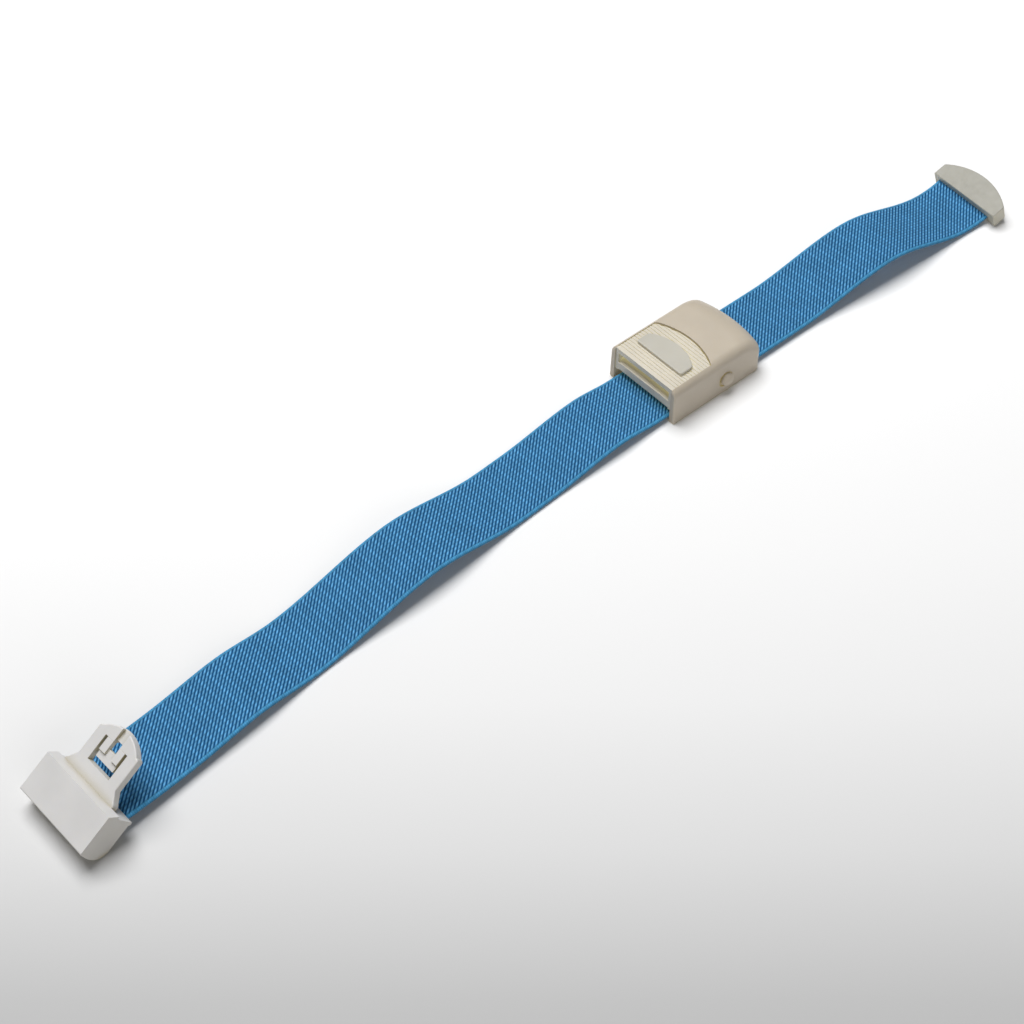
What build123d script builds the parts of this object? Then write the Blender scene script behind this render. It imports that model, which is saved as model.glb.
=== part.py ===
from build123d import *
import os
from math import cos, radians, sin

# Elastic arm strap with a quick-release buckle, laid out flat and slightly wavy.
# Millimetres, +Z up, +X along the strap from the end clip to the end tab.
# While it is built, x = 0 is the front face of the buckle and z = 0 the surface it lies on.
# The last section moves the whole assembly to its bounding box's bottom centre.

# Strap
STRAP_WIDTH = 25.0
STRAP_THICK = 1.5
STRAP_LEVEL = 1.2           # height of its underside where it runs through the buckle
STRAP_SIDE = -0.6           # how far it runs off the buckle's middle
# Waypoints are (x, value, slope): first the height of the strap's underside, then its
# sideways bow. Between two waypoints both follow a cubic with x running evenly.
STRAP_WAVE = [
    (-231.5, 4.6, -0.08),
    (-196.0, 2.2, 0.0),
    (-174.0, 3.0, 0.0),
    (-149.0, 0.0, 0.0),
    (-102.0, 6.0, 0.0),
    (-64.0, 0.0, 0.0),
    (-53.0, 0.0, 0.0),
    (-20.0, 2.7, 0.0),
    (-4.0, STRAP_LEVEL, 0.0),
    (64.0, STRAP_LEVEL, 0.0),
    (109.0, 7.9, 0.0),
    (148.0, 0.4, 0.0),
    (157.0, 1.5, 0.24),
    (161.5, 3.0, 0.374),
]
STRAP_BOW = [
    (-231.5, -16.4, 0.10),
    (-100.0, -4.7, 0.047),
    (-6.0, STRAP_SIDE, 0.0),
    (64.0, STRAP_SIDE, 0.0),
    (161.5, -4.9, -0.035),
]
STRAP_CUTS = (-102.0, 20.0)   # x where the strap's model is divided into three lengths
SOFT_GAP = 0.3              # air at the strap's edges, and over it inside the buckle

# Buckle housing
BUCKLE_LENGTH = 43.4
BUCKLE_WIDTH = 31.4
BUCKLE_HEIGHT = 14.7
BUCKLE_REAR_ARC = 48.0      # radius of the rear wall, seen from above
BUCKLE_LEAN = 0.5           # how far each side wall leans in from bottom to top
BUCKLE_BLEND = 3.4          # rounding of the upper side edges and the rear corners
BROW_LENGTH = 10.5          # the cover falls away over this length at the rear ...
BROW_DROP = 7.7             # ... and by this much
NOSE = 2.2                  # rounding of the side walls' upper front corners
WALL_EDGE = 0.6             # rounding of the side walls' outer front edges
WALL = 2.25
COVER_SKIN = 1.5
REAR_WALL = 2.0
COVER_EDGE_SIDE = 18.2      # x of the cover's front edge where it meets a side wall
COVER_EDGE_ARC = 27.0       # radius of that edge, seen from above
PLAY = 0.08                 # side play of the rocker between the walls

# Rocker: press deck, cheeks, shelf and rear clamping bar in one moulding
PIVOT_X = 24.4
PIVOT_Z = 5.5
PRESS_ANGLE = 4.0
DECK_FRONT = 0.4
DECK_TOP = 14.1
DECK_SKIN = 1.3
DECK_LIP_THICK = 1.6
DECK_LIP_BOTTOM = 12.2
DECK_GAP = 0.3              # gap between the deck's curved rear edge and the cover
CHEEK = 1.3
SHELF_TOP = 9.0
SHELF_THICK = 3.8
SHELF_END = 13.0
RIB_PITCH = 1.32
RIB_START = 1.3             # first groove, behind the deck's front edge
RIB_GROOVE = 0.55
RIB_DEPTH = 0.22
PAD_WIDTH = 21.2
PAD_FRONT = 7.0
PAD_SIDE_END = 12.4
PAD_REAR = 16.1
PAD_PROUD = 1.1
PAD_SINK = 0.35
PAD_FRONT_CORNER = 0.9
PAD_REAR_CORNER = 2.4
PAD_EDGE = 0.3
JAW_FRONT = 29.5
JAW_REAR = 35.5
JAW_TOP = 6.8
TOOTH_START = 30.1
TOOTH_COUNT = 5
TOOTH_PITCH = 1.2
TOOTH_DEPTH = 0.7

# Pivot pins, spring and catch
PIN_RADIUS = 1.6
PIN_HEAD_RADIUS = 2.5
PIN_PROUD = 1.9
PIN_RUNNING_GAP = 0.06
PIN_SEAT_DEPTH = 0.6        # recess in the wall round each pin's head ...
PIN_RECESS = [(PIN_HEAD_RADIUS + 0.2, 0.0), (PIN_HEAD_RADIUS + 0.4, -0.6)]   # ... and its circles
SPRING_X = 32.0
SPRING_RADIUS = 2.6
SPRING_WIRE = 0.6
SPRING_TURNS = 5
BOSS_RADIUS = 2.15          # studs on the rocker and the catch plate that centre the spring
CATCH_THICK = 1.0
HOOK_TOP = 11.3
HOOK_THICK = 1.0
HOOK_NIB_DEPTH = 1.0
HOOK_FRONT = 7.3
HOOK_WIDTH = 2.0

# Base plate under the strap
BASE_THICK = 0.9
BASE_FRONT = 13.0

# End clip with its tongue. Its own frame has x along the tongue, y across, z out of
# the big face, with its origin at the middle of the big face's upper edge.
CLIP_ORIGIN = (-228.5, -15.95, 14.9)
CLIP_YAW = 2.25
CLIP_PITCH = 33.0
CLIP_WIDTH = 29.26
CLIP_LENGTH = 13.05
CLIP_DEPTH = 10.4
CLIP_FRONT_RADIUS = 0.5
CLIP_END_BOW = 1.4          # how far the rounded lower end's curve is pulled outwards ...
CLIP_END_TURN = 3.0         # ... and where it runs into the underside
CLIP_WALL = 1.4
CLIP_RIM = 0.9              # how far the upper rim slopes out down to the tongue's top
FLANGE_THICK = 1.4
FLANGE_LIP = 0.55           # how far the flange stands out under the cap
FLANGE_LIP_LENGTH = 1.1
TONGUE_SIDE = 0.45          # how far the tongue stands off the clip's middle
TONGUE_TOP = -4.0
TONGUE_THICK = 2.5
TONGUE_WIDTH = 17.6
TONGUE_BASE_WIDTH = 22.8
TONGUE_BASE_END = 1.85
TONGUE_NECK = 5.05
TONGUE_CORNER = 14.7
TONGUE_TIP = 18.9
TONGUE_TIP_ARC = 10.6
TONGUE_EDGE = 0.4           # rounding of the tongue's upper edges
WINDOW_WIDTH = 10.0
WINDOW_START = 5.65
WINDOW_END = 14.2
TAB_WIDTH = 8.0
TAB_THICK = 1.9
TAB_FREE_END = 7.7
TAB_STEP = 0.7
TAB_LEDGE_END = 9.9
CHANNEL_WIDTH = 3.1
HOLE_START = 11.7
HOLE_END = 15.1

# End tab. Its own frame has x away from the strap, y across, z up, with its origin at
# the middle of the top face's straight front edge.
TAB_ORIGIN = (156.95, -5.4, 5.8)
TAB_HEADING = -5.0
TAB_PITCH = 20.5
TAB_END_WIDTH = 30.4
TAB_END_DEPTH = 10.3
TAB_END_SIDE = 5.3
TAB_END_THICK = 6.0
TAB_END_CORNER = 1.2        # rounding of the rear corners, seen from above ...
TAB_END_EDGE = 0.3          # ... and of the top face's edges
TAB_SKIN = 1.3
PEG_RADIUS = 1.0
PEG_SPACING = 14.0
PEG_X = 3.1


# ---- helpers -------------------------------------------------------------------------
def along(waypoints, x):
    """Value and slope at x of the curve through the waypoints."""
    for (x0, v0, m0), (x1, v1, m1) in zip(waypoints, waypoints[1:]):
        if x <= x1:
            break
    length = x1 - x0
    s = (x - x0) / length
    value = (v0 * (1 + 2 * s) + length * m0 * s) * (1 - s) ** 2
    value += (v1 * (3 - 2 * s) + length * m1 * (s - 1)) * s**2
    slope = 6 * s * (1 - s) * (v1 - v0) / length
    slope += m0 * (1 - 4 * s + 3 * s**2) + m1 * (3 * s**2 - 2 * s)
    return value, slope


def curve(waypoints, place):
    """Bezier edges through the waypoints; place(x, value) gives each control point."""
    edges = []
    for (x0, v0, m0), (x1, v1, m1) in zip(waypoints, waypoints[1:]):
        third = (x1 - x0) / 3
        points = [(x0, v0), (x0 + third, v0 + m0 * third)]
        points += [(x1 - third, v1 - m1 * third), (x1, v1)]
        edges.append(Bezier(*[place(x, v) for x, v in points]))
    return edges


def ribbon(waypoints, low, high, place):
    """Face between the waypoints' curve shifted by low and the same curve shifted by high."""
    bottom = curve(waypoints, lambda x, v: place(x, v + low))
    top = curve(waypoints, lambda x, v: place(x, v + high))
    start = Line(bottom[0] @ 0, top[0] @ 0)
    end = Line(bottom[-1] @ 1, top[-1] @ 1)
    return make_face(bottom + [end] + top + [start])


def block(x0, x1, y0, y1, z0, z1):
    """Box from its limits."""
    size = (x1 - x0, y1 - y0, z1 - z0)
    return Pos((x0 + x1) / 2, (y0 + y1) / 2, (z0 + z1) / 2) * Box(*size)


def across(profile, half_width):
    """Solid from an XZ outline, running half_width each way along Y."""
    return extrude(profile, amount=half_width, dir=(0, 1, 0), both=True)


def side_outline(*points):
    """XZ face through (x, z) points."""
    return make_face(Polyline(*[(x, 0, z) for x, z in points], close=True))


def y_cylinder(radius, x, z, y0, y1):
    """Round bar along Y between y0 and y1."""
    return Pos(x, (y0 + y1) / 2, z) * Rot(90, 0, 0) * Cylinder(radius, abs(y1 - y0))


def d_outline(width, straight, depth, start=0.0):
    """Plan face with a straight front edge, short straight sides and a bulging rear arc."""
    half = width / 2
    front = Line((start, half), (start, -half))
    right = Line((start, -half), (straight, -half))
    arc = ThreePointArc((straight, -half), (depth, 0), (straight, half))
    left = Line((straight, half), (start, half))
    return make_face([front, right, arc, left])


# ---- strap ---------------------------------------------------------------------------
def strap_band(air_below, air_above, air_side):
    """The strap's volume, grown by the given air; without air it is the strap itself."""
    side = ribbon(STRAP_WAVE, -air_below, STRAP_THICK + air_above, lambda x, v: (x, 0, v))
    half = STRAP_WIDTH / 2 + air_side
    plan = ribbon(STRAP_BOW, -half, half, lambda x, v: (x, v, 0))
    return across(side, 60) & extrude(plan, amount=40, both=True)


def make_strap(tab, start, end):
    """Length of woven elastic webbing from start to end, punched where a tab peg passes."""
    strap = strap_band(0, 0, 0) & block(start, end, -60, 60, -10, 40)
    for side in (-1, 1):
        hole = Pos(PEG_X, side * PEG_SPACING / 2, -TAB_END_THICK / 2)
        strap -= tab.location * (hole * Cylinder(PEG_RADIUS + 0.2, 10))
    return strap


# ---- buckle --------------------------------------------------------------------------
HALF = BUCKLE_WIDTH / 2
INNER = HALF - WALL


def buckle_body(skin):
    """Outer shape of the buckle shrunk by skin: leaning walls under a cover with a brow."""
    rear = BUCKLE_LENGTH - skin
    top = BUCKLE_HEIGHT - skin
    axis = BUCKLE_LENGTH - BUCKLE_REAR_ARC
    brow_start = rear - BROW_LENGTH
    brow_end = top - BROW_DROP
    outline = make_face([
        Line((axis, 0, 0), (axis, 0, top)),
        Line((axis, 0, top), (brow_start, 0, top)),
        Bezier(
            (brow_start, 0, top),
            (brow_start + 0.56 * BROW_LENGTH, 0, top),
            (rear, 0, brow_end + 0.56 * BROW_DROP),
            (rear, 0, brow_end),
        ),
        Line((rear, 0, brow_end), (rear, 0, 0)),
        Line((rear, 0, 0), (axis, 0, 0)),
    ])
    turned = revolve(outline, Axis((axis, 0, 0), (0, 0, 1)), 360)
    low_half = HALF - skin
    high_half = low_half - BUCKLE_LEAN
    section = make_face(Polyline(
        (skin, -low_half, 0), (skin, low_half, 0), (skin, high_half, top), (skin, -high_half, top),
        close=True,
    ))
    body = turned & extrude(section, amount=60, dir=(1, 0, 0))
    corners = [edge for edge in body.edges() if is_upper_side_edge(edge, high_half)]
    return fillet(corners, BUCKLE_BLEND - skin)


def is_upper_side_edge(edge, half):
    """True for the edges between a side wall and the top, the brow or the rear wall."""
    middle = edge @ 0.5
    level = (edge @ 0).Z < 0.01 and (edge @ 1).Z < 0.01
    return abs(middle.Y) > half - 0.01 and middle.X > 1 + HALF - half and not level


def is_wall_front_edge(edge):
    """True for the upright edges at the outer front of the side walls."""
    start, end = edge @ 0, edge @ 1
    upright = abs(start.Z - end.Z) > BUCKLE_HEIGHT / 2
    return upright and start.X < 0.01 and end.X < 0.01


def nose_cutter():
    """Removes the sharp upper front corners of the side walls."""
    start = BUCKLE_HEIGHT - NOSE
    bend = NOSE * (1 - cos(radians(45)))
    corner = make_face([
        Line((-1, 0, start), (0, 0, start)),
        ThreePointArc((0, 0, start), (bend, 0, BUCKLE_HEIGHT - bend), (NOSE, 0, BUCKLE_HEIGHT)),
        Line((NOSE, 0, BUCKLE_HEIGHT), (NOSE, 0, BUCKLE_HEIGHT + 1)),
        Line((NOSE, 0, BUCKLE_HEIGHT + 1), (-1, 0, BUCKLE_HEIGHT + 1)),
        Line((-1, 0, BUCKLE_HEIGHT + 1), (-1, 0, start)),
    ])
    return across(corner, 40)


def wall_at(height):
    """Half width over the side walls at a height."""
    return HALF - BUCKLE_LEAN * height / BUCKLE_HEIGHT


def cover_edge(clearance):
    """Everything in front of the cover's curved edge, less the clearance."""
    x = COVER_EDGE_SIDE - clearance
    sagitta = COVER_EDGE_ARC - (COVER_EDGE_ARC**2 - INNER**2) ** 0.5
    face = d_outline(2 * INNER, x, x + sagitta, start=-5.0)
    return extrude(face, amount=60, both=True)


def make_housing():
    """Smooth cover, side walls with pin holes and a rear wall over the strap's exit."""
    cavity_top = BUCKLE_HEIGHT - COVER_SKIN
    housing = buckle_body(0)
    front = [edge for edge in housing.edges() if is_wall_front_edge(edge)]
    housing = fillet(front, WALL_EDGE) - nose_cutter()
    rear_inside = BUCKLE_LENGTH - REAR_WALL - 1.6
    hollow = buckle_body(COVER_SKIN) & block(-5, rear_inside, -INNER, INNER, -1, cavity_top)
    hollow += block(-1, 8, -INNER, INNER, -1, cavity_top)
    hollow += block(6, rear_inside - 2, -INNER, INNER, -1, 5)
    housing -= hollow
    housing -= cover_edge(0)
    exit_top = STRAP_LEVEL + STRAP_THICK + 0.6
    housing -= block(BUCKLE_LENGTH - 6, BUCKLE_LENGTH + 1, -INNER, INNER, -1, exit_top)
    for side in (-1, 1):
        hole_radius = PIN_RADIUS + PIN_RUNNING_GAP
        housing -= y_cylinder(hole_radius, PIVOT_X, PIVOT_Z, side * (INNER - 1), side * (HALF + 1))
        seat = wall_at(PIVOT_Z) - PIN_SEAT_DEPTH
        for radius, offset in PIN_RECESS:
            x = PIVOT_X + offset
            housing -= y_cylinder(radius, x, PIVOT_Z, side * seat, side * (HALF + 1))
    return housing


def make_base_plate():
    """Floor under the strap, with low ridges that the jaw presses the strap against."""
    rear = BUCKLE_LENGTH - REAR_WALL - 2
    plate = block(BASE_FRONT, rear, -INNER, INNER, 0, BASE_THICK)
    plate -= Pos(BASE_FRONT, 0, BASE_THICK) * Rot(0, 45, 0) * Box(0.6, 40, 0.6)
    ridge = side_outline((-0.45, BASE_THICK - 0.2), (0.45, BASE_THICK - 0.2), (0, BASE_THICK + 0.12))
    for step in range(TOOTH_COUNT):
        x = TOOTH_START + step * TOOTH_PITCH
        plate += Pos(x, 0, 0) * across(ridge, STRAP_WIDTH / 2 - 0.5)
    return plate


def make_rocker():
    """Two-armed lever: ribbed deck and shelf in front of the pivot, toothed bar behind."""
    half = INNER - PLAY
    inside = half - CHEEK
    strap_top = STRAP_LEVEL + STRAP_THICK
    reach = PIVOT_X - DECK_FRONT
    drop = reach * sin(radians(PRESS_ANGLE))
    belly = strap_top + 0.25
    cheek = side_outline(
        (DECK_FRONT, belly + drop),
        (DECK_FRONT, DECK_TOP),
        (COVER_EDGE_SIDE + 2.6, DECK_TOP),
        (PIVOT_X + 1.8, 8.9),
        (JAW_REAR, JAW_TOP),
        (JAW_REAR, belly + 0.5),
        (PIVOT_X + 3, belly),
        (PIVOT_X - 1, belly),
    )
    rocker = across(cheek, half) - across(cheek, inside)
    rocker += block(DECK_FRONT, COVER_EDGE_SIDE + 6, -half, half, DECK_TOP - DECK_SKIN, DECK_TOP)
    lip_end = DECK_FRONT + DECK_LIP_THICK
    rocker += block(DECK_FRONT, lip_end, -inside, inside, DECK_LIP_BOTTOM, DECK_TOP)
    shelf = side_outline(
        (DECK_FRONT, SHELF_TOP - SHELF_THICK),
        (DECK_FRONT, SHELF_TOP - 0.9),
        (DECK_FRONT + 2.2, SHELF_TOP),
        (SHELF_END, SHELF_TOP),
        (SHELF_END, SHELF_TOP - 1.5),
        (DECK_FRONT + 3.0, SHELF_TOP - 1.5),
        (DECK_FRONT + 2.0, SHELF_TOP - SHELF_THICK),
    )
    rocker += across(shelf, inside)
    rocker -= block(15, 60, -40, 40, 8.5, 60) - cover_edge(DECK_GAP)
    rocker += block(JAW_FRONT, JAW_REAR, -inside, inside, strap_top + SOFT_GAP + TOOTH_DEPTH, JAW_TOP)
    tooth = side_outline((-0.55, TOOTH_DEPTH + 0.1), (0.55, TOOTH_DEPTH + 0.1), (0.25, 0))
    for step in range(TOOTH_COUNT):
        x = TOOTH_START + step * TOOTH_PITCH
        rocker += Pos(x, 0, strap_top + SOFT_GAP) * across(tooth, inside)
    rocker += Pos(SPRING_X, 0, JAW_TOP + 0.5) * Cylinder(BOSS_RADIUS, 1.0)
    groove_count = int((COVER_EDGE_SIDE + 3.0 - DECK_FRONT) / RIB_PITCH)
    groove_bottom = DECK_TOP - RIB_DEPTH
    for step in range(groove_count):
        x = DECK_FRONT + RIB_START + step * RIB_PITCH
        rocker -= block(x, x + RIB_GROOVE, -40, 40, groove_bottom, DECK_TOP + 1)
    rocker -= pad_outline(DECK_TOP - RIB_DEPTH - PAD_SINK, DECK_TOP + 1)
    for side in (-1, 1):
        rocker -= y_cylinder(PIN_RADIUS, PIVOT_X, PIVOT_Z, side * inside, side * (half + 1))
    return rocker


def pad_outline(low, high):
    """Rounded D-shaped block in the middle of the deck."""
    face = d_outline(PAD_WIDTH, PAD_SIDE_END, PAD_REAR, start=PAD_FRONT)
    corners = face.vertices().sort_by(Axis.X)
    face = fillet(corners[:2], PAD_FRONT_CORNER)
    face = fillet(face.vertices().sort_by(Axis.X)[-2:], PAD_REAR_CORNER)
    return Pos(0, 0, low) * extrude(face, amount=high - low)


def make_label_pad():
    """Smooth raised plate let into the deck."""
    pad = pad_outline(DECK_TOP - RIB_DEPTH - PAD_SINK, DECK_TOP + PAD_PROUD)
    return fillet(pad.faces().sort_by(Axis.Z)[-1].edges(), PAD_EDGE)


def make_pivot_pins():
    """Two domed stub pins, pressed into the cheeks and running in the walls."""
    pins = []
    half = INNER - PLAY
    for side in (-1, 1):
        seat = wall_at(PIVOT_Z) - PIN_SEAT_DEPTH + 0.1
        shank = y_cylinder(PIN_RADIUS, PIVOT_X, PIVOT_Z, side * (half - CHEEK), side * seat)
        head_end = wall_at(PIVOT_Z) + PIN_PROUD
        head = y_cylinder(PIN_HEAD_RADIUS, PIVOT_X, PIVOT_Z, side * seat, side * head_end)
        tip = head.edges().sort_by(Axis.Y)[-1 if side > 0 else 0]
        pins.append(shank + fillet(tip, PIN_PROUD * 0.95))
    return Compound(children=pins)


def make_spring():
    """Compression coil between the rocker's rear bar and the catch plate."""
    low = JAW_TOP + SPRING_WIRE / 2 + 0.02
    high = BUCKLE_HEIGHT - COVER_SKIN - CATCH_THICK - SPRING_WIRE / 2 - 0.02
    path = Helix((high - low) / SPRING_TURNS, high - low, SPRING_RADIUS)
    section = Plane(origin=path @ 0, z_dir=path % 0) * Circle(SPRING_WIRE / 2)
    return Pos(SPRING_X, 0, low) * sweep(section, path, is_frenet=True)


def make_catch_plate():
    """Plate under the cover that carries the catch hook in front and the spring boss behind."""
    top = BUCKLE_HEIGHT - COVER_SKIN
    neck = COVER_EDGE_SIDE + 4.4
    rear = SPRING_X + 3.0
    plate = block(neck, rear, -8, 8, top - CATCH_THICK, top)
    arm = side_outline(
        (HOOK_FRONT, HOOK_TOP),
        (neck - 3.5, HOOK_TOP),
        (neck, top),
        (neck + 2.5, top),
        (neck + 0.2, top - CATCH_THICK - 0.2),
        (neck - 2.6, HOOK_TOP - HOOK_THICK),
        (HOOK_FRONT + 1.9, HOOK_TOP - HOOK_THICK),
        (HOOK_FRONT + 1.9, HOOK_TOP - HOOK_THICK - HOOK_NIB_DEPTH),
        (HOOK_FRONT + 1.2, HOOK_TOP - HOOK_THICK - HOOK_NIB_DEPTH),
        (HOOK_FRONT, HOOK_TOP - HOOK_THICK),
    )
    plate += across(arm, HOOK_WIDTH / 2)
    plate += Pos(SPRING_X, 0, top - CATCH_THICK - 0.6) * Cylinder(BOSS_RADIUS, 1.2)
    return plate & buckle_body(COVER_SKIN)


# ---- end clip ------------------------------------------------------------------------
def clip_plane():
    """Frame of the clip: x along the tongue, z out of the big face."""
    yaw = radians(CLIP_YAW)
    pitch = radians(CLIP_PITCH)
    tongue = (cos(yaw) * cos(pitch), sin(yaw) * cos(pitch), sin(pitch))
    outward = (-cos(yaw) * sin(pitch), -sin(yaw) * sin(pitch), cos(pitch))
    return Plane(origin=CLIP_ORIGIN, x_dir=tongue, z_dir=outward)


def clip_outline(inset):
    """Side view of the clip's box: sloping rim, big face, curved lower end, underside."""
    low = -CLIP_DEPTH + inset
    high = -inset
    end = -CLIP_LENGTH + inset
    radius = CLIP_FRONT_RADIUS
    bend = radius * (1 - cos(radians(45)))
    turn = end + CLIP_END_TURN
    return make_face([
        Line((0, 0, low), (0, 0, TONGUE_TOP)),
        Line((0, 0, TONGUE_TOP), (CLIP_RIM, 0, TONGUE_TOP)),
        Line((CLIP_RIM, 0, TONGUE_TOP), (0, 0, high)),
        Line((0, 0, high), (end + radius, 0, high)),
        ThreePointArc(
            (end + radius, 0, high), (end + bend, 0, high - bend), (end, 0, high - radius)
        ),
        Bezier(
            (end, 0, high - radius),
            (end - CLIP_END_BOW, 0, (high + low) / 2),
            (end - CLIP_END_BOW, 0, low),
            (turn, 0, low),
        ),
        Line((turn, 0, low), (0, 0, low)),
    ])


def make_clip_cap(clip):
    """Box-shaped cap: big face, upper rim, ends, back and underside, with the flange's seat."""
    half = CLIP_WIDTH / 2
    inside = half - CLIP_WALL
    outer = across(clip_outline(0), half)
    inner = across(clip_outline(CLIP_WALL), inside) & block(-40, -FLANGE_THICK, -40, 40, -40, 0)
    seat = block(-FLANGE_THICK, 1, -inside, inside, -CLIP_DEPTH - 1, TONGUE_TOP)
    return clip.location * (outer - inner - seat) - strap_band(0, 0, SOFT_GAP)


def clip_interior(clip):
    """Space inside the cap, in world position."""
    inner = across(clip_outline(CLIP_WALL + 0.05), CLIP_WIDTH / 2 - CLIP_WALL - 0.1)
    return clip.location * (inner & block(-40, -FLANGE_THICK, -40, 40, -40, 40))


def beside_strap(above):
    """Half space over the strap's top face, or under its underside."""
    if above:
        return strap_band(0, 60, 30) - strap_band(0, 0, 40)
    return strap_band(60, 0, 30) - strap_band(0, 0, 40)


def tongue_outline():
    """Plan of the tongue: wide base, sloping shoulders, straight sides and a bulging tip."""
    wide = TONGUE_BASE_WIDTH / 2
    narrow = TONGUE_WIDTH / 2
    root = -FLANGE_THICK
    reach = narrow - 1.1
    tip_side = TONGUE_TIP - TONGUE_TIP_ARC + (TONGUE_TIP_ARC**2 - reach**2) ** 0.5
    outline = [Line((root, wide), (root, -wide))]
    for side in (1, -1):
        outline += [
            Line((root, side * wide), (TONGUE_BASE_END - 0.9, side * wide)),
            ThreePointArc(
                (TONGUE_BASE_END - 0.9, side * wide),
                (TONGUE_BASE_END - 0.1, side * (wide - 0.25)),
                (TONGUE_BASE_END + 0.5, side * (wide - 0.8)),
            ),
            Line((TONGUE_BASE_END + 0.5, side * (wide - 0.8)), (TONGUE_NECK, side * narrow)),
            Line((TONGUE_NECK, side * narrow), (TONGUE_CORNER, side * narrow)),
            ThreePointArc(
                (TONGUE_CORNER, side * narrow),
                ((TONGUE_CORNER + tip_side) / 2 + 0.22, side * (narrow - 0.35)),
                (tip_side, side * reach),
            ),
        ]
    outline.append(ThreePointArc((tip_side, reach), (TONGUE_TIP, 0), (tip_side, -reach)))
    return make_face(outline)


def make_clip_tongue(clip):
    """Flange, core that presses on the strap, and the tongue with its window."""
    top = TONGUE_TOP
    bottom = TONGUE_TOP - TONGUE_THICK
    tongue = Pos(0, 0, bottom) * extrude(tongue_outline(), amount=TONGUE_THICK)
    tongue = fillet(tongue.faces().sort_by(Axis.Z)[-1].edges(), TONGUE_EDGE)
    half = WINDOW_WIDTH / 2
    tongue -= block(WINDOW_START, WINDOW_END, -half, half, bottom - 1, top + 1)
    channel = CHANNEL_WIDTH / 2
    tongue -= block(WINDOW_END - 1, HOLE_END, -channel, channel, bottom - 1, top + 1)
    ramp = side_outline(
        (WINDOW_END - 0.5, top + 0.5),
        (TONGUE_TIP + 1, top + 0.5),
        (TONGUE_TIP + 1, top - 1.6),
        (HOLE_END, top - 0.9),
        (WINDOW_END - 0.5, top - 0.9),
    )
    tongue -= across(ramp, channel)
    seat_half = CLIP_WIDTH / 2 - CLIP_WALL - 0.03
    flange = block(-FLANGE_THICK, 0, -seat_half, seat_half, -CLIP_DEPTH, TONGUE_TOP)
    lip_half = CLIP_WIDTH / 2
    lip_bottom = -CLIP_DEPTH - FLANGE_LIP
    flange += block(-FLANGE_LIP_LENGTH, 0, -lip_half, lip_half, lip_bottom, -CLIP_DEPTH)
    core = clip_interior(clip) & beside_strap(True)
    moulding = clip.location * (Pos(0, TONGUE_SIDE, 0) * tongue + flange) + core
    return moulding - strap_band(0, 0, SOFT_GAP)


def make_clip_wedge(clip):
    """Wedge behind the strap's end, driven in under it to lock it against the core."""
    return clip_interior(clip) & beside_strap(False)


def make_latch_tab(clip):
    """Springy E-shaped tab in the tongue's window; it hangs from the tongue's tip end."""
    top = TONGUE_TOP
    bottom = TONGUE_TOP - TAB_THICK
    half = TAB_WIDTH / 2
    tab = block(TAB_FREE_END, WINDOW_END, -half, half, bottom, top)
    tab -= block(TAB_FREE_END - 1, TAB_LEDGE_END, -half - 1, half + 1, top - TAB_STEP, top + 1)
    channel = CHANNEL_WIDTH / 2
    tab -= block(TAB_LEDGE_END - 1, WINDOW_END + 1, -channel, channel, top - TAB_STEP, top + 1)
    tab -= block(HOLE_START, WINDOW_END + 1, -channel, channel, bottom - 1, top + 1)
    return clip.location * (Pos(0, TONGUE_SIDE, 0) * tab)


# ---- end tab -------------------------------------------------------------------------
def tab_plane():
    """Frame of the end tab: x away from the strap, z out of its top face."""
    heading = radians(TAB_HEADING)
    pitch = radians(TAB_PITCH)
    forward = Vector(cos(heading), sin(heading), 0)
    x_dir = forward * cos(pitch) + Vector(0, 0, 1) * sin(pitch)
    z_dir = forward * -sin(pitch) + Vector(0, 0, 1) * cos(pitch)
    return Plane(origin=TAB_ORIGIN, x_dir=x_dir, z_dir=z_dir)


def make_end_tab_shell(tab):
    """D-shaped thumb grip: top and rim in one, hollow from below, with the strap's mouth."""
    outline = d_outline(TAB_END_WIDTH, TAB_END_SIDE, TAB_END_DEPTH)
    outline = fillet(outline.vertices().sort_by(Axis.X)[-2:], TAB_END_CORNER)
    body = Pos(0, 0, -TAB_END_THICK) * extrude(outline, amount=TAB_END_THICK)
    body = fillet(body.faces().sort_by(Axis.Z)[-1].edges(), TAB_END_EDGE)
    body -= tab_cover_block(0.05)
    return tab.location * body - strap_band(0, 0, SOFT_GAP) - tab_pegs(tab, 0.03)


def tab_cover_block(grow):
    """Inset block that closes the end tab from below, up to its top skin."""
    inset = TAB_SKIN - grow
    face = d_outline(
        TAB_END_WIDTH - 2 * inset, TAB_END_SIDE, TAB_END_DEPTH - inset, start=inset
    )
    height = TAB_END_THICK - TAB_SKIN - 1.2
    return Pos(0, 0, -TAB_END_THICK) * extrude(face, amount=height)


def tab_pegs(tab, grow):
    """Two pegs that pass through the strap's punched holes."""
    pegs = []
    for side in (-1, 1):
        at = Pos(PEG_X, side * PEG_SPACING / 2, -TAB_END_THICK / 2)
        pegs.append(tab.location * (at * Cylinder(PEG_RADIUS + grow, TAB_END_THICK - 1.6)))
    return pegs[0] + pegs[1]


def make_end_tab_cover(tab):
    """Underside plate with the two pegs that pin the strap's end in the grip."""
    cover = tab.location * tab_cover_block(0.0) - strap_band(0, 60, 40)
    return cover + tab_pegs(tab, 0.0)


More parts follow.
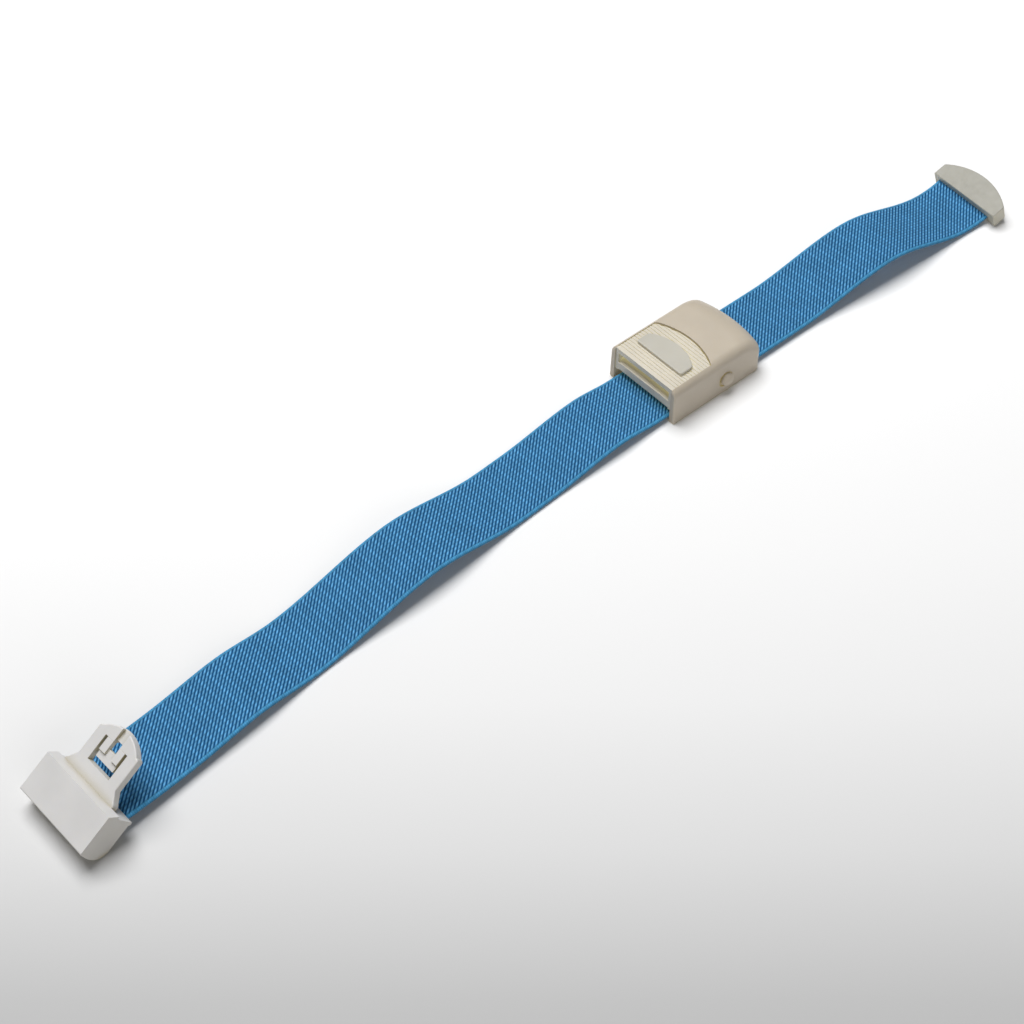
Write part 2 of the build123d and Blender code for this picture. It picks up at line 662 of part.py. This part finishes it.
# ---- assembly ------------------------------------------------------------------------
def make_nodes():
    """Every sub-part by its node's name, before the shift to the shared origin."""
    clip = clip_plane()
    tab = tab_plane()
    return {
        "strap_clip_end": make_strap(tab, -300, STRAP_CUTS[0]),
        "strap_middle": make_strap(tab, *STRAP_CUTS),
        "strap_tail": make_strap(tab, STRAP_CUTS[1], 300),
        "clip_cap": make_clip_cap(clip),
        "clip_tongue": make_clip_tongue(clip),
        "clip_wedge": make_clip_wedge(clip),
        "latch_tab": make_latch_tab(clip),
        "end_tab_shell": make_end_tab_shell(tab),
        "end_tab_cover": make_end_tab_cover(tab),
        "buckle_housing": make_housing(),
        "base_plate": make_base_plate(),
        "catch_plate": make_catch_plate(),
        "rocker_deck": make_rocker(),
        "label_pad": make_label_pad(),
        "pivot_pins": make_pivot_pins(),
        "return_spring": make_spring(),
    }


nodes = make_nodes()
boxes = [node.bounding_box() for node in nodes.values()]
shift = Vector(
    -(min(b.min.X for b in boxes) + max(b.max.X for b in boxes)) / 2,
    -(min(b.min.Y for b in boxes) + max(b.max.Y for b in boxes)) / 2,
    -min(b.min.Z for b in boxes),
)
os.makedirs("parts", exist_ok=True)
for name, node in nodes.items():
    export_step(Pos(shift) * node, f"parts/{name}.step")

clip = clip_plane()
hinge = clip.location * Pos(WINDOW_END, TONGUE_SIDE, TONGUE_TOP - TAB_THICK)
print("shift", shift)
print("rocker pivot", Vector(PIVOT_X, 0, PIVOT_Z) + shift)
print("tab hinge", hinge.position + shift, "axis", clip.y_dir)
print("spring fixed end", BUCKLE_HEIGHT - COVER_SKIN - CATCH_THICK + shift.Z)
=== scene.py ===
"""Looks for the arm strap with its quick-release buckle: webbing, moulded plastic, studio.

Everything is in metres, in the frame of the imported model, which says where each part is.
"""

import math

import bmesh
import bpy
import numpy as np
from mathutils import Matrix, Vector
from mathutils.bvhtree import BVHTree


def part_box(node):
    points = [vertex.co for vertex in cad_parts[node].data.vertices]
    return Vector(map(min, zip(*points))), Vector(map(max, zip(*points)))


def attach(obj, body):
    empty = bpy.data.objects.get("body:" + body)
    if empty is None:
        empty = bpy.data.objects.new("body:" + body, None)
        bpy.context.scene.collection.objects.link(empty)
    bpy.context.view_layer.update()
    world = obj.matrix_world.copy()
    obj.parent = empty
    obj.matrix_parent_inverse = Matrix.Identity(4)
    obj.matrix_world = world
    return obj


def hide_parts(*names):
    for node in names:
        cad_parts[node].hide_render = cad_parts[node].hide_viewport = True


MM = 0.001

# Camera: where it looks on the floor, counted from the middle of the buckle's front face,
# from which side, how far off, and its lens on a 36 mm sensor.
CAMERA_AIM = (-65.4 * MM, -9.6 * MM)
CAMERA_AZIMUTH = -40.8
CAMERA_ELEVATION = 49.37
CAMERA_DISTANCE = 0.6108
CAMERA_LENS = 67.4

# Webbing: diagonal ribs made of short stitches, and a plain band along each edge
STRAP_NODES = ("strap_clip_end", "strap_middle", "strap_tail")
STRAP_WIDTH = 25.0 * MM
STRAP_THICK = 1.5 * MM
RIB_PERIOD = 1.607 * MM     # along the strap
RIB_SHEAR = 1.15            # how far a rib runs along the strap for each step across it
RIB_HEIGHT = 0.26 * MM
RIB_POWER = 1.8             # how narrow the grooves between the ribs are
RIB_STEPS = 6               # mesh columns for each rib
STITCH_PERIOD = 1.333 * MM  # across the strap
STITCH_DIP = 0.09 * MM      # how far the rib's top drops between two stitches
STITCH_LEAN = 0.06          # how far a stitch turns away from its rib's line
TWILL_LIFT = 0.12           # how much lighter every other stitch of a rib is than the mean
YARN_PITCH = 0.42 * MM
YARN_SHEAR = 2.3
SELVEDGE = 1.1 * MM         # width of the plain band along each edge
SELVEDGE_PITCH = 0.75 * MM
SELVEDGE_GAP = 0.3 * MM     # flat strip between the ribs and the plain band
SELVEDGE_FADE = 0.12 * MM
SELVEDGE_LEVEL = 0.86       # height of the plain bands, as a share of the ribs' height
EDGE_ROUNDING = 0.8         # radius of the strap's edges, as a share of half its thickness
EDGE_ANGLES = (0.6, 1.1, 1.57, 2.04, 2.54)
PATCH_SCALE = 160.0         # noise scales in turns per metre
FUZZ_SCALE = 5200.0
FIBRE_SCALE = 9000.0

# How the strap's course is read from its CAD lengths
PATH_KNOTS = 64
PATH_RAYS = 60              # rays across the strap at each knot
PATH_MARGIN = 0.2 * MM      # how far inside the strap's ends the first and last knots are
RAY_START = 1.0             # where rays start, well outside the object
END_MARGIN = 0.3 * MM       # how far inside the strap's ends the webbing stops
CUT_TOLERANCE = 0.001 * MM

# Plastics and wire: noise scales in turns per metre
STREAK_SCALE = 2600.0
MOTTLE_SCALE = 90.0
SCUFF_SCALE = 420.0
RIPPLE_SCALE = 240.0
GRAIN_SCALE = 5200.0
# Upright faces of the plastics take on a painted tone, painted light or shade, fading out towards
# lying faces.
UPRIGHT, LYING = 0.2, 0.7   # vertical part of the normal on upright and on lying faces

# Modifiers of the CAD parts
WELD_DISTANCE = 0.002 * MM
BEVEL_SEGMENTS = 3
BEVEL_ANGLE = math.radians(38)

# Floor: linear grey at distances ahead of the origin, seen along the camera's heading; the fall to
# darker grey towards the viewer is painted shade
FLOOR_SHADE_TONES = [
    (-0.28, 0.33),
    (-0.19, 0.49),
    (-0.145, 0.65),
    (-0.095, 0.765),
    (-0.037, 0.83),
    (0.05, 0.89),
    (0.3, 0.93),
]
FLOOR_REACH = 4.0
FLOOR_DROP = 0.2 * MM       # gap under the object, so that no faces coincide
FLOOR_NEAR, FLOOR_FAR = FLOOR_SHADE_TONES[0][0], FLOOR_SHADE_TONES[-1][0]

# Linear colours. The webbing's crest tone carries a painted highlight, and its bridge and groove
# tones carry painted shade, over the yarn's own blue.
WEB_CREST_HIGHLIGHT = (0.104, 0.325, 0.570)
WEB_BRIDGE_SHADE = (0.008, 0.100, 0.250)
WEB_GROOVE_SHADE = (0.002, 0.062, 0.180)
WEB_SELVEDGE = (0.058, 0.256, 0.470)
BLACK = (0.0, 0.0, 0.0)


# ---- node helpers --------------------------------------------------------------------
MIX_FIRST, MIX_SECOND, MIX_RESULT = 6, 7, 2     # the Mix node's sockets for colours


class Tree:
    """A material's node tree with short calls for the nodes used here."""

    def __init__(self, name):
        self.material = bpy.data.materials.new(name)
        self.material.use_nodes = True
        self.nodes = self.material.node_tree.nodes
        self.links = self.material.node_tree.links
        self.shader = self.nodes["Principled BSDF"]

    def node(self, kind, **settings):
        made = self.nodes.new(kind)
        for key, value in settings.items():
            setattr(made, key, value)
        return made

    def feed(self, socket, value):
        if isinstance(value, bpy.types.NodeSocket):
            self.links.new(value, socket)
        else:
            socket.default_value = value

    def math(self, operation, *values):
        made = self.node("ShaderNodeMath", operation=operation)
        for socket, value in zip(made.inputs, values):
            self.feed(socket, value)
        return made.outputs[0]

    def mix(self, factor, first, second, blend="MIX"):
        made = self.node("ShaderNodeMix", data_type="RGBA", blend_type=blend)
        self.feed(made.inputs[0], factor)
        self.feed(made.inputs[MIX_FIRST], rgba(first))
        self.feed(made.inputs[MIX_SECOND], rgba(second))
        return made.outputs[MIX_RESULT]

    def noise(self, vector, scale, detail, roughness=0.5):
        made = self.node("ShaderNodeTexNoise")
        self.feed(made.inputs["Vector"], vector)
        made.inputs["Scale"].default_value = scale
        made.inputs["Detail"].default_value = detail
        made.inputs["Roughness"].default_value = roughness
        return made.outputs["Fac"]

    def remap(self, value, low, high, to_low, to_high):
        made = self.node("ShaderNodeMapRange")
        for socket, number in zip(made.inputs, (value, low, high, to_low, to_high)):
            self.feed(socket, number)
        return made.outputs[0]

    def bump(self, height, distance, strength, normal=None):
        made = self.node("ShaderNodeBump")
        made.inputs["Strength"].default_value = strength
        made.inputs["Distance"].default_value = distance
        self.feed(made.inputs["Height"], height)
        if normal is not None:
            self.feed(made.inputs["Normal"], normal)
        return made.outputs[0]

    def position(self):
        return self.node("ShaderNodeTexCoord").outputs["Object"]


def rgba(value):
    """What a colour input takes: a socket as it is, or a three-part colour with alpha."""
    return value if isinstance(value, bpy.types.NodeSocket) else (*value, 1.0)


# ---- materials -----------------------------------------------------------------------
def plastic(name, colour, shade, reach=(3.2 * MM, 0.10, 0.50), glow=0.35, side=0.0):
    """Satin injection-moulded plastic: fine spark-eroded grain, faint mottling and scuffs.

    shade is the tone painted into corners and slots: painted shade, and painted light standing in
    for light that comes through thin walls. reach says how near the walls stand and between which
    openness values the tone fades, glow how strong the painted glow there is, which stands in for
    that light, and side how much of the tone upright faces take on as painted light or shade."""
    tree = Tree(name)
    shader = tree.shader
    where = tree.position()
    mottle = tree.noise(where, MOTTLE_SCALE, detail=3.0)
    darker = tuple(0.965 * c for c in colour)
    lighter = tuple(1.03 * c for c in colour)
    tone = tree.mix(tree.remap(mottle, 0.3, 0.7, 0.0, 1.0), darker, lighter)
    distance, closed, opened = reach
    # Painted shade and painted glow: the more enclosed a point is, the more of the shade tone and
    # of the glow it takes.
    occlusion = tree.node("ShaderNodeAmbientOcclusion", samples=8)
    occlusion.inputs["Distance"].default_value = distance
    recess_shade_and_glow = tree.remap(occlusion.outputs["AO"], closed, opened, 1.0, 0.0)
    # Painted light or shade on upright faces, which take on part of the shade tone.
    facing = tree.node("ShaderNodeSeparateXYZ")
    tree.feed(facing.inputs[0], tree.node("ShaderNodeNewGeometry").outputs["Normal"])
    upright = tree.remap(tree.math("ABSOLUTE", facing.outputs[2]), UPRIGHT, LYING, side, 0.0)
    shaded = tree.math("MAXIMUM", recess_shade_and_glow, upright)
    # Base colour with the painted tone in corners and slots and on upright faces.
    tree.feed(shader.inputs["Base Color"], tree.mix(shaded, tone, shade))
    # Painted glow in corners and slots: the plastic gives off light of the shade tone though it is
    # no lamp.
    tree.feed(shader.inputs["Emission Color"], tree.mix(recess_shade_and_glow, BLACK, shade))
    shader.inputs["Emission Strength"].default_value = glow
    scuff = tree.noise(where, SCUFF_SCALE, detail=4.0, roughness=0.65)
    tree.feed(shader.inputs["Roughness"], tree.remap(scuff, 0.3, 0.75, 0.36, 0.52))
    grain = tree.noise(where, GRAIN_SCALE, detail=2.0)
    ripple = tree.noise(where, RIPPLE_SCALE, detail=1.0)
    soft = tree.bump(ripple, 0.05 * MM, strength=0.35)
    tree.feed(shader.inputs["Normal"], tree.bump(grain, 0.02 * MM, strength=0.5, normal=soft))
    shader.inputs["Subsurface Weight"].default_value = 0.12
    shader.inputs["Subsurface Radius"].default_value = (1.0, 0.85, 0.55)
    shader.inputs["Subsurface Scale"].default_value = 0.9 * MM
    shader.inputs["Specular IOR Level"].default_value = 0.42
    return tree.material


def webbing():
    """Woven elastic: corded diagonal ribs between plain selvedges.

    The mesh's weave attribute holds the distance along the strap and across it."""
    tree = Tree("woven_elastic")
    shader = tree.shader
    attribute = tree.node("ShaderNodeAttribute", attribute_name="weave")
    split = tree.node("ShaderNodeSeparateXYZ")
    tree.feed(split.inputs[0], attribute.outputs["Vector"])
    along, side = split.outputs[0], split.outputs[1]
    where = attribute.outputs["Vector"]

    row = tree.math("DIVIDE", side, STITCH_PERIOD)
    turned = tree.math("SUBTRACT", tree.math("FRACT", tree.math("ADD", row, 0.5)), 0.5)
    slant = tree.math("MULTIPLY", side, RIB_SHEAR)
    lean = tree.math("MULTIPLY", turned, STITCH_LEAN * STITCH_PERIOD)
    path = tree.math("ADD", tree.math("SUBTRACT", along, slant), lean)
    phase = tree.math("DIVIDE", path, RIB_PERIOD)
    rib = arch(tree, phase, 1.7)
    stitch_body = arch(tree, tree.math("ADD", row, 0.5), 2.2)
    yarn_run = tree.math("ADD", along, tree.math("MULTIPLY", side, YARN_SHEAR))
    yarn = arch(tree, tree.math("DIVIDE", yarn_run, YARN_PITCH), 1.2)

    edge_start = STRAP_WIDTH / 2 - SELVEDGE
    offset = tree.math("ABSOLUTE", side)
    edge = tree.remap(offset, edge_start - SELVEDGE_FADE, edge_start + SELVEDGE_FADE, 0, 1)
    stitch = arch(tree, tree.math("DIVIDE", along, SELVEDGE_PITCH), 1.4)

    # Painted shade in the hollows between the ribs, darkest where the stitches part.
    hollow_shade = tree.mix(tree.remap(stitch_body, 0.25, 0.85, 0, 1), WEB_BRIDGE_SHADE, WEB_GROOVE_SHADE)
    patches = tree.noise(where, PATCH_SCALE, detail=3.0)
    shade = tree.remap(patches, 0.3, 0.7, 0.90, 1.08)
    # The crests take the lighter tone, a painted highlight over the yarn's blue.
    field = tree.mix(tree.remap(rib, 0.42, 0.95, 0, 1), hollow_shade, WEB_CREST_HIGHLIGHT)
    # The plain band is darker between its stitches: painted shade.
    rim = tree.mix(stitch, tuple(0.72 * c for c in WEB_SELVEDGE), WEB_SELVEDGE)
    fuzz = tree.remap(tree.noise(where, FUZZ_SCALE, detail=2.0), 0.3, 0.7, 0.86, 1.12)
    crest_sign = tree.math("SINE", tree.math("MULTIPLY", phase, math.pi))
    row_sign = tree.math("COSINE", tree.math("MULTIPLY", row, math.pi))
    lift = tree.math("MULTIPLY_ADD", tree.math("MULTIPLY", crest_sign, row_sign), TWILL_LIFT, 1.0)
    tint = tree.math("MULTIPLY", shade, fuzz)
    # Darker between the stitches of a rib and lighter on them: painted shade and painted highlight.
    tint = tree.math("MULTIPLY", tint, tree.remap(stitch_body, 0, 1, 0.60, 1.18))
    tint = tree.math("MULTIPLY", tint, lift)
    combined = tree.node("ShaderNodeCombineXYZ")
    for socket in combined.inputs:
        tree.feed(socket, tint)
    colour = tree.mix(1.0, tree.mix(edge, field, rim), combined.outputs[0], blend="MULTIPLY")
    tree.feed(shader.inputs["Base Color"], colour)

    ridge = tree.math("SUBTRACT", rib, tree.math("MULTIPLY", stitch_body, 0.25))
    twist = tree.math("ADD", ridge, tree.math("MULTIPLY", yarn, 0.2))
    inner = tree.math("MULTIPLY", twist, tree.math("SUBTRACT", 1.0, edge))
    outer = tree.math("MULTIPLY", stitch, tree.math("MULTIPLY", edge, 0.7))
    relief = tree.bump(tree.math("ADD", inner, outer), 0.12 * MM, strength=0.8)
    fibres = tree.noise(where, FIBRE_SCALE, detail=2.0)
    tree.feed(shader.inputs["Normal"], tree.bump(fibres, 0.03 * MM, strength=0.6, normal=relief))
    tree.feed(shader.inputs["Roughness"], tree.remap(rib, 0, 1, 0.85, 0.62))
    shader.inputs["Sheen Weight"].default_value = 0.04
    shader.inputs["Sheen Roughness"].default_value = 0.45
    shader.inputs["Sheen Tint"].default_value = (0.55, 0.78, 1.0, 1.0)
    shader.inputs["Specular IOR Level"].default_value = 0.1
    return tree.material


def arch(tree, turns, power):
    """1 at the middle of each whole turn and 0 at its ends, rounded by power."""
    fraction = tree.math("FRACT", turns)
    offset = tree.math("ABSOLUTE", tree.math("SUBTRACT", tree.math("MULTIPLY", fraction, 2.0), 1.0))
    return tree.math("SUBTRACT", 1.0, tree.math("POWER", offset, power))


def spring_wire():
    """Drawn steel wire with faint lengthways marks."""
    tree = Tree("spring_wire")
    shader = tree.shader
    streaks = tree.noise(tree.position(), STREAK_SCALE, detail=2.0)
    tone = tree.mix(streaks, (0.48, 0.48, 0.49), (0.62, 0.62, 0.62))
    tree.feed(shader.inputs["Base Color"], tone)
    shader.inputs["Metallic"].default_value = 1.0
    tree.feed(shader.inputs["Roughness"], tree.remap(streaks, 0.3, 0.7, 0.22, 0.38))
    return tree.material


# ---- strap ---------------------------------------------------------------------------
def strap_path():
    """Middle of the strap at even steps of x: arrays of x, sideways bow and mid height."""
    points, faces = [], []
    for name in STRAP_NODES:
        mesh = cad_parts[name].data
        first = len(points)
        points += [vertex.co.copy() for vertex in mesh.vertices]
        faces += [[first + index for index in face.vertices] for face in mesh.polygons]
    tree = BVHTree.FromPolygons(points, faces)
    low, high = strap_box()
    xs = np.linspace(low.x + PATH_MARGIN, high.x - PATH_MARGIN, PATH_KNOTS)
    bows, heights = [], []
    for x in xs:
        hits = []
        for y in np.linspace(low.y, high.y, PATH_RAYS):
            top = tree.ray_cast(Vector((x, y, RAY_START)), Vector((0, 0, -1)))[0]
            under = tree.ray_cast(Vector((x, y, -RAY_START)), Vector((0, 0, 1)))[0]
            if top and under:
                hits.append((top.z + under.z) / 2)
        height = sorted(hits)[len(hits) // 2]
        left = tree.ray_cast(Vector((x, RAY_START, height)), Vector((0, -1, 0)))[0]
        right = tree.ray_cast(Vector((x, -RAY_START, height)), Vector((0, 1, 0)))[0]
        bows.append((left.y + right.y) / 2)
        heights.append(height)
    return xs, np.array(bows), np.array(heights)


def strap_box():
    """Corners of the box around all the strap's lengths."""
    corners = np.array([[tuple(corner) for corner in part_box(name)] for name in STRAP_NODES])
    return Vector(corners[:, 0].min(0)), Vector(corners[:, 1].max(0))


def smooth(xs, values, at):
    """Value and slope at the given x of a cubic through the samples; straight beyond them."""
    step = xs[1] - xs[0]
    slopes = np.gradient(values, step)
    place = np.clip((at - xs[0]) / step, 0, len(xs) - 1)
    index = np.minimum(place.astype(int), len(xs) - 2)
    s = place - index
    v0, v1 = values[index], values[index + 1]
    m0, m1 = slopes[index] * step, slopes[index + 1] * step
    value = (2 * s**3 - 3 * s**2 + 1) * v0 + (s**3 - 2 * s**2 + s) * m0
    value += (3 * s**2 - 2 * s**3) * v1 + (s**3 - s**2) * m1
    slope = (6 * s**2 - 6 * s) * (v0 - v1) + (3 * s**2 - 4 * s + 1) * m0 + (3 * s**2 - 2 * s) * m1
    beyond = at - np.clip(at, xs[0], xs[-1])
    return value + beyond * slope / step, slope / step


def strap_section():
    """Loop round the strap: offset across, height from the middle, share of relief, dip."""
    half = STRAP_WIDTH / 2
    level = STRAP_THICK / 2
    band = SELVEDGE_LEVEL * level
    radius = EDGE_ROUNDING * level
    spacing = STITCH_PERIOD / 2
    rows = int((half - SELVEDGE) / spacing)
    top = [(k * spacing, level, 1.0, STITCH_DIP * (k % 2)) for k in range(-rows, rows + 1)]
    plain = half - SELVEDGE + SELVEDGE_GAP
    top = [(-half + radius, band, 0.0, 0.0), (-plain, band, 0.0, 0.0)] + top
    top += [(plain, band, 0.0, 0.0), (half - radius, band, 0.0, 0.0)]
    turn = [
        (half - radius + radius * math.sin(a), band * math.cos(a), 0.0, 0.0)
        for a in EDGE_ANGLES
    ]
    under = [(y, -z, share, dip) for y, z, share, dip in top[::-1] if share == 0 or dip == 0]
    other = [(-y, z, share, dip) for y, z, share, dip in reversed(turn)]
    return top + turn + under + other


def make_strap():
    """One strip of webbing with real ribs, on a grid whose columns run along the ribs."""
    low, high = strap_box()
    xs, bows, heights = strap_path()
    step = RIB_PERIOD / RIB_STEPS
    reach = RIB_SHEAR * STRAP_WIDTH / 2 + 2 * step
    first = math.floor((low.x - reach) / step)
    last = math.ceil((high.x + reach) / step)
    column = np.arange(first, last + 1)
    fraction = (column % RIB_STEPS) / RIB_STEPS
    groove = RIB_HEIGHT * np.abs(2 * fraction - 1) ** RIB_POWER
    points, weave = [], []
    for y, z, share, dip in strap_section():
        x = column * step + RIB_SHEAR * y
        bow, _ = smooth(xs, bows, x)
        middle, rise = smooth(xs, heights, x)
        tilt = np.arctan(rise)
        height = z - math.copysign(1, z) * (share * groove + dip)
        place = (x - height * np.sin(tilt), bow + y, middle + height * np.cos(tilt))
        points.append(np.stack(place, 1))
        weave.append(np.stack((x, np.full_like(x, y), np.full_like(x, z)), 1))
    points = np.stack(points, 1)
    weave = np.stack(weave, 1)
    columns, ring = points.shape[:2]
    corner = np.arange(columns * ring).reshape(columns, ring)
    around = np.roll(corner, -1, axis=1)
    quads = np.stack((corner[:-1], corner[1:], around[1:], around[:-1]), -1).reshape(-1, 4)

    mesh = bpy.data.meshes.new("strap_webbing")
    mesh.from_pydata(points.reshape(-1, 3).tolist(), [], quads.tolist())
    attribute = mesh.attributes.new("weave", "FLOAT_VECTOR", "POINT")
    attribute.data.foreach_set("vector", weave.reshape(-1).astype(np.float32))
    trim(mesh, low.x + END_MARGIN, high.x - END_MARGIN)
    mesh.shade_smooth()
    return add_object(mesh, webbing())


def trim(mesh, start, end):
    """Cuts the slanted ends of the grid square, closes them and points the faces out."""
    shape = bmesh.new()
    shape.from_mesh(mesh)
    for x, outward in ((start, -1), (end, 1)):
        everything = shape.verts[:] + shape.edges[:] + shape.faces[:]
        bmesh.ops.bisect_plane(
            shape, geom=everything, plane_co=(x, 0, 0), plane_no=(outward, 0, 0), clear_outer=True
        )
        rim = [edge for edge in shape.edges if edge.is_boundary and on_plane(edge, x)]
        bmesh.ops.contextual_create(shape, geom=rim)
    bmesh.ops.recalc_face_normals(shape, faces=shape.faces[:])
    shape.to_mesh(mesh)
    shape.free()


def on_plane(edge, x):
    """True for an edge that starts on the plane across the strap at x."""
    return abs(edge.verts[0].co.x - x) < CUT_TOLERANCE


def add_object(mesh, material):
    """Puts a new object with the mesh and the material into the scene."""
    made = bpy.data.objects.new(mesh.name, mesh)
    bpy.context.scene.collection.objects.link(made)
    mesh.materials.append(material)
    return made


# ---- carried-over CAD parts ----------------------------------------------------------
def finish_part(name, material, rounding):
    """Gives a CAD part its material, smooth shading and, with a rounding, rounded edges."""
    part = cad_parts[name]
    part.data.materials.clear()
    part.data.materials.append(material)
    weld = part.modifiers.new("weld", "WELD")
    weld.merge_threshold = WELD_DISTANCE
    if rounding:
        bevel = part.modifiers.new("soft_edges", "BEVEL")
        bevel.width = rounding
        bevel.segments = BEVEL_SEGMENTS
        bevel.limit_method = "ANGLE"
        bevel.angle_limit = BEVEL_ANGLE
        bevel.harden_normals = True
    part.data.shade_smooth()
    normals = part.modifiers.new("normals", "WEIGHTED_NORMAL")
    normals.keep_sharp = True


def dress_parts():
    """Materials of every plastic and metal part."""
    # Each plastic's second colour is the tone painted into its corners and slots. The housing's is
    # darker and yellower: painted shade, with a faint painted glow.
    ivory = plastic("ivory_housing", (0.49, 0.43, 0.345), (0.40, 0.33, 0.14))
    # The deck's wide reach and strong glow paint a yellow glow and shade into the recess behind its
    # lip.
    deck = plastic(
        "ivory_deck",
        (0.60, 0.555, 0.465),
        (0.42, 0.38, 0.20),
        reach=(8.0 * MM, 0.10, 0.50),
        glow=0.8,
    )
    # The pad's corner tone is lighter than its colour: painted light in its corners and on its
    # upright sides.
    pad = plastic("grey_pad", (0.475, 0.455, 0.395), (0.62, 0.59, 0.50), glow=0.1, side=0.7)
    # The clip's corner tone is a darker beige: painted shade in its corners and a little on its
    # upright faces, with a faint painted glow.
    white = plastic(
        "white_clip",
        (0.65, 0.64, 0.63),
        (0.32, 0.27, 0.14),
        reach=(4.5 * MM, 0.3, 0.9),
        glow=0.1,
        side=0.22,
    )
    # The end tab's corner tone is lighter than its colour: painted light in its corners and on its
    # upright faces.
    tab = plastic("grey_tab", (0.30, 0.29, 0.245), (0.58, 0.55, 0.45), glow=0.1, side=0.8)
    steel = spring_wire()
    finishes = {
        "buckle_housing": (ivory, 0.22 * MM),
        "base_plate": (ivory, 0.0),
        "catch_plate": (ivory, 0.0),
        "pivot_pins": (ivory, 0.0),
        "rocker_deck": (deck, 0.08 * MM),
        "label_pad": (pad, 0.0),
        "clip_cap": (white, 0.2 * MM),
        "clip_tongue": (white, 0.18 * MM),
        "latch_tab": (white, 0.14 * MM),
        "clip_wedge": (white, 0.0),
        "end_tab_shell": (tab, 0.2 * MM),
        "end_tab_cover": (tab, 0.0),
        "return_spring": (steel, 0.0),
    }
    for name, (material, rounding) in finishes.items():
        finish_part(name, material, rounding)


# ---- studio --------------------------------------------------------------------------
def add_floor():
    """Pale floor that grows a little darker towards the viewer, as painted shade."""
    shape = bmesh.new()
    bmesh.ops.create_grid(shape, x_segments=8, y_segments=8, size=FLOOR_REACH)
    mesh = bpy.data.meshes.new("studio_floor")
    shape.to_mesh(mesh)
    shape.free()
    tree = Tree("pale_floor")
    split = tree.node("ShaderNodeSeparateXYZ")
    tree.feed(split.inputs[0], tree.position())
    azimuth = math.radians(CAMERA_AZIMUTH)
    ahead = tree.math("MULTIPLY", split.outputs[0], -math.sin(azimuth))
    ahead = tree.math("MULTIPLY_ADD", split.outputs[1], math.cos(azimuth), ahead)
    # Painted shade: the floor's grey falls off towards the viewer.
    shade_ramp = tree.node("ShaderNodeValToRGB")
    tree.feed(shade_ramp.inputs[0], tree.remap(ahead, FLOOR_NEAR, FLOOR_FAR, 0, 1))
    stops = shade_ramp.color_ramp.elements
    for place, _ in FLOOR_SHADE_TONES[1:-1]:
        stops.new((place - FLOOR_NEAR) / (FLOOR_FAR - FLOOR_NEAR))
    for stop, (_, tone) in zip(stops, FLOOR_SHADE_TONES):
        stop.color = (tone, tone, tone, 1.0)
    tree.feed(tree.shader.inputs["Base Color"], shade_ramp.outputs[0])
    tree.shader.inputs["Roughness"].default_value = 0.6
    tree.shader.inputs["Specular IOR Level"].default_value = 0.1
    floor = add_object(mesh, tree.material)
    floor.location.z = -FLOOR_DROP


def add_light(name, place, size, power):
    """Square white softbox at place, pointed at the object."""
    lamp = bpy.data.lights.new(name, "AREA")
    lamp.shape = "SQUARE"
    lamp.size = size
    lamp.energy = power
    made = bpy.data.objects.new(name, lamp)
    bpy.context.scene.collection.objects.link(made)
    made.location = place
    aim = camera_target() - Vector(place)
    made.rotation_euler = aim.to_track_quat("-Z", "Y").to_euler()


def add_studio():
    """Key from above and a little behind the object, weak fill from the viewer's side."""
    add_light("key_softbox", (0.04, 0.48, 1.40), 1.0, 27.0)
    add_light("fill_softbox", (-0.75, -1.3, 0.6), 1.0, 6.6)
    world = bpy.data.worlds.new("pale_room")
    world.use_nodes = True
    world.node_tree.nodes["Background"].inputs["Color"].default_value = (1, 1, 1, 1)
    world.node_tree.nodes["Background"].inputs["Strength"].default_value = 0.08
    bpy.context.scene.world = world
    bpy.context.scene.view_settings.view_transform = "Standard"


def camera_target():
    """Point on the floor that the camera and the lights look at."""
    low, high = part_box("buckle_housing")
    return Vector((low[0] + CAMERA_AIM[0], (low[1] + high[1]) / 2 + CAMERA_AIM[1], 0.0))


def add_camera():
    """Camera that looks down along the strap from the clip's side."""
    azimuth = math.radians(CAMERA_AZIMUTH)
    elevation = math.radians(CAMERA_ELEVATION)
    level = math.cos(elevation)
    back = Vector((math.sin(azimuth) * level, -math.cos(azimuth) * level, math.sin(elevation)))
    lens = bpy.data.cameras.new("camera")
    lens.lens = CAMERA_LENS
    lens.sensor_width = 36.0
    lens.clip_start = 0.01
    lens.clip_end = 50.0
    camera = bpy.data.objects.new("camera", lens)
    bpy.context.scene.collection.objects.link(camera)
    camera.location = camera_target() + back * CAMERA_DISTANCE
    camera.rotation_euler = (-back).to_track_quat("-Z", "Y").to_euler()
    bpy.context.scene.camera = camera


# ---- assembly ------------------------------------------------------------------------
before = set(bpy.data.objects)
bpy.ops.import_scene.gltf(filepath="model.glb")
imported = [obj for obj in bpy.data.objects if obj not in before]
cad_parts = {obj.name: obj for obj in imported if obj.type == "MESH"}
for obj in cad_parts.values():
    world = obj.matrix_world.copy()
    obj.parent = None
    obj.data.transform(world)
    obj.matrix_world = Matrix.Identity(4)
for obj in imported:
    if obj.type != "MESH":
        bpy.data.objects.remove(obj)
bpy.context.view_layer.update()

add_camera()
add_floor()
add_studio()
dress_parts()

strap = make_strap()
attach(strap, "strap_side")
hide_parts(*STRAP_NODES)
